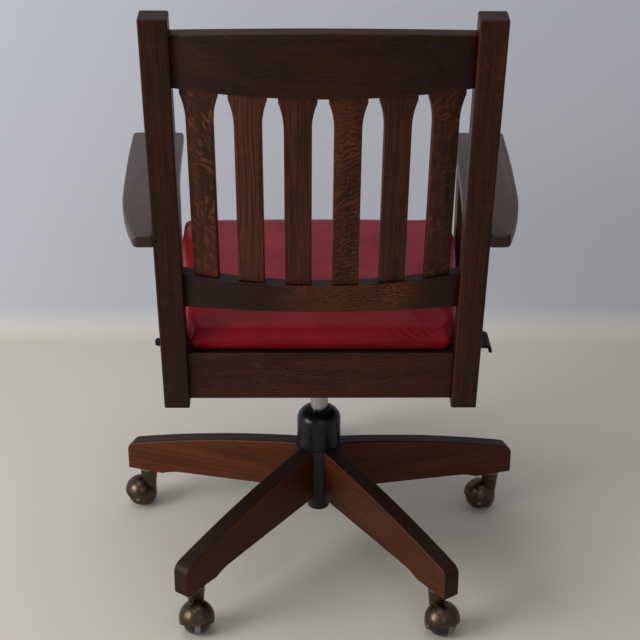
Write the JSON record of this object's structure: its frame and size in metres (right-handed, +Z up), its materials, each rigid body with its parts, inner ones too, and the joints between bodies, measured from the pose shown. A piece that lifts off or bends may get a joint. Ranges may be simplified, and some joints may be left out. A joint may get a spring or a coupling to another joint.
{
  "type": "swivel desk armchair",
  "caption": "Mission-style desk armchair with slatted bowed back, flat arms and padded leather seat, on a tilting gas lift and wooden star base with hooded ball casters",
  "frame": {"origin": "on the floor, on the axis that the seat swivels about", "axes": "+Z up, +Y the way the sitter faces, +X to the sitter's right"},
  "size_m": [0.6811, 0.6802, 0.9629],
  "materials": {
    "dark_oak": "satin stained quarter-sawn oak",
    "frame_wood": "plain unfinished wood",
    "red_leather": "soft satin leather",
    "black_metal": "satin black paint",
    "lift_steel": "polished steel",
    "bright_steel": "zinc plated",
    "black_plastic": "satin black",
    "aged_brass": "antique bronze plating",
    "wheel_plastic": "dark, with a grey tread band"
  },
  "bodies": {
    "base": {"base_hub": "black_metal", "front_leg": "dark_oak", "right_leg": "dark_oak", "rear_right_leg": "dark_oak", "rear_left_leg": "dark_oak", "left_leg": "dark_oak", "gas_column": "black_metal", "guide_bush": "black_plastic", "column_cover": "black_plastic", "caster_sockets": "bright_steel"},
    "lift_rod": {"piston_rod": "bright_steel", "thrust_bearing": "bright_steel"},
    "mechanism": {"gas_cylinder": "lift_steel", "tilt_housing": "black_metal", "tilt_axle": "bright_steel", "tilt_spring": "bright_steel"},
    "seat": {"left_rear_post": "dark_oak", "right_rear_post": "dark_oak", "left_front_post": "dark_oak", "right_front_post": "dark_oak", "left_apron": "dark_oak", "right_apron": "dark_oak", "left_arm": "dark_oak", "right_arm": "dark_oak", "top_rail": "dark_oak", "lower_back_rail": "dark_oak", "rear_apron": "dark_oak", "front_apron": "dark_oak", "back_slat_1": "dark_oak", "back_slat_2": "dark_oak", "back_slat_3": "dark_oak", "back_slat_4": "dark_oak", "back_slat_5": "dark_oak", "back_slat_6": "dark_oak", "seat_board": "frame_wood", "seat_cleats": "frame_wood", "cross_rails": "frame_wood", "seat_cushion": "red_leather", "seat_plate": "black_metal", "tension_bolt": "bright_steel", "spring_cup": "bright_steel"},
    "release_lever": {"height_lever": "black_plastic"},
    "valve": {"valve_pin": "bright_steel"},
    "lock_lever": {"tilt_lock_lever": "black_plastic"},
    "tension": {"tension_knob": "black_plastic"},
    "front_caster": {"front_caster_hood": "aged_brass", "front_caster_pins": "bright_steel"},
    "front_wheel": {"front_caster_wheel": "wheel_plastic"},
    "right_caster": {"right_caster_hood": "aged_brass", "right_caster_pins": "bright_steel"},
    "right_wheel": {"right_caster_wheel": "wheel_plastic"},
    "rear_right_caster": {"rear_right_caster_hood": "aged_brass", "rear_right_caster_pins": "bright_steel"},
    "rear_right_wheel": {"rear_right_caster_wheel": "wheel_plastic"},
    "rear_left_caster": {"rear_left_caster_hood": "aged_brass", "rear_left_caster_pins": "bright_steel"},
    "rear_left_wheel": {"rear_left_caster_wheel": "wheel_plastic"},
    "left_caster": {"left_caster_hood": "aged_brass", "left_caster_pins": "bright_steel"},
    "left_wheel": {"left_caster_wheel": "wheel_plastic"}
  },
  "joints": [
    {"name": "seat_swivel", "type": "hinge", "parent": "base", "child": "lift_rod", "pos_m": [0, 0, 0.07], "axis": [0, 0, 1], "continuous": true},
    {"name": "seat_lift", "type": "slide", "parent": "lift_rod", "child": "mechanism", "axis": [0, 0, 1], "range_m": [-0.03, 0.07]},
    {"name": "seat_tilt", "type": "hinge", "parent": "mechanism", "child": "seat", "pos_m": [0, 0.06, 0.338], "axis": [1, 0, 0], "range_deg": [0, 12], "stiffness_Nm_per_rad": 150, "springref_deg": -15.47, "deforming": ["tilt_spring"]},
    {"name": "release_lever_lift", "type": "hinge", "parent": "mechanism", "child": "release_lever", "pos_m": [0.045, 0.01248, 0.3353], "axis": [0.2672, -0.9636, 0], "range_deg": [0, 3], "stiffness_Nm_per_rad": 6, "springref_deg": -5.73},
    {"name": "valve_press", "type": "slide", "parent": "mechanism", "child": "valve", "axis": [0, 0, 1], "range_m": [-0.003, 0]},
    {"name": "lock_lever_turn", "type": "hinge", "parent": "mechanism", "child": "lock_lever", "pos_m": [-0.045, 0.01248, 0.3353], "axis": [-0.9636, 0.2672, 0], "range_deg": [0, 60]},
    {"name": "tension_turn", "type": "hinge", "parent": "seat", "child": "tension", "pos_m": [0, 0.122, 0.27], "axis": [0, 0, 1], "continuous": true},
    {"name": "front_caster_swivel", "type": "hinge", "parent": "base", "child": "front_caster", "pos_m": [0.00719, 0.31692, 0.08], "axis": [0, 0, 1], "continuous": true},
    {"name": "front_wheel_roll", "type": "hinge", "parent": "front_caster", "child": "front_wheel", "pos_m": [0.00172, 0.33195, 0.0234], "axis": [-0.9397, -0.342, 0], "continuous": true},
    {"name": "right_caster_swivel", "type": "hinge", "parent": "base", "child": "right_caster", "pos_m": [0.30363, 0.09109, 0.08], "axis": [0, 0, 1], "continuous": true},
    {"name": "right_wheel_roll", "type": "hinge", "parent": "right_caster", "child": "right_wheel", "pos_m": [0.28772, 0.09277, 0.0234], "axis": [-0.1045, -0.9945, 0], "continuous": true},
    {"name": "rear_right_caster_swivel", "type": "hinge", "parent": "base", "child": "rear_right_caster", "pos_m": [0.18046, -0.26062, 0.08], "axis": [0, 0, 1], "continuous": true},
    {"name": "rear_right_wheel_roll", "type": "hinge", "parent": "rear_right_caster", "child": "rear_right_wheel", "pos_m": [0.18846, -0.27448, 0.0234], "axis": [0.866, 0.5, 0], "continuous": true},
    {"name": "rear_left_caster_swivel", "type": "hinge", "parent": "base", "child": "rear_left_caster", "pos_m": [-0.1921, -0.25217, 0.08], "axis": [0, 0, 1], "continuous": true},
    {"name": "rear_left_wheel_roll", "type": "hinge", "parent": "rear_left_caster", "child": "rear_left_wheel", "pos_m": [-0.19043, -0.26808, 0.0234], "axis": [0.9945, 0.1045, 0], "continuous": true},
    {"name": "left_caster_swivel", "type": "hinge", "parent": "base", "child": "left_caster", "pos_m": [-0.29918, 0.10477, 0.08], "axis": [0, 0, 1], "continuous": true},
    {"name": "left_wheel_roll", "type": "hinge", "parent": "left_caster", "child": "left_wheel", "pos_m": [-0.31503, 0.107, 0.0234], "axis": [-0.1392, -0.9903, 0], "continuous": true}
  ],
  "couplings": [
    {"joint": "valve_press", "follows": "release_lever_lift", "m_per_rad": -0.0467}
  ]
}
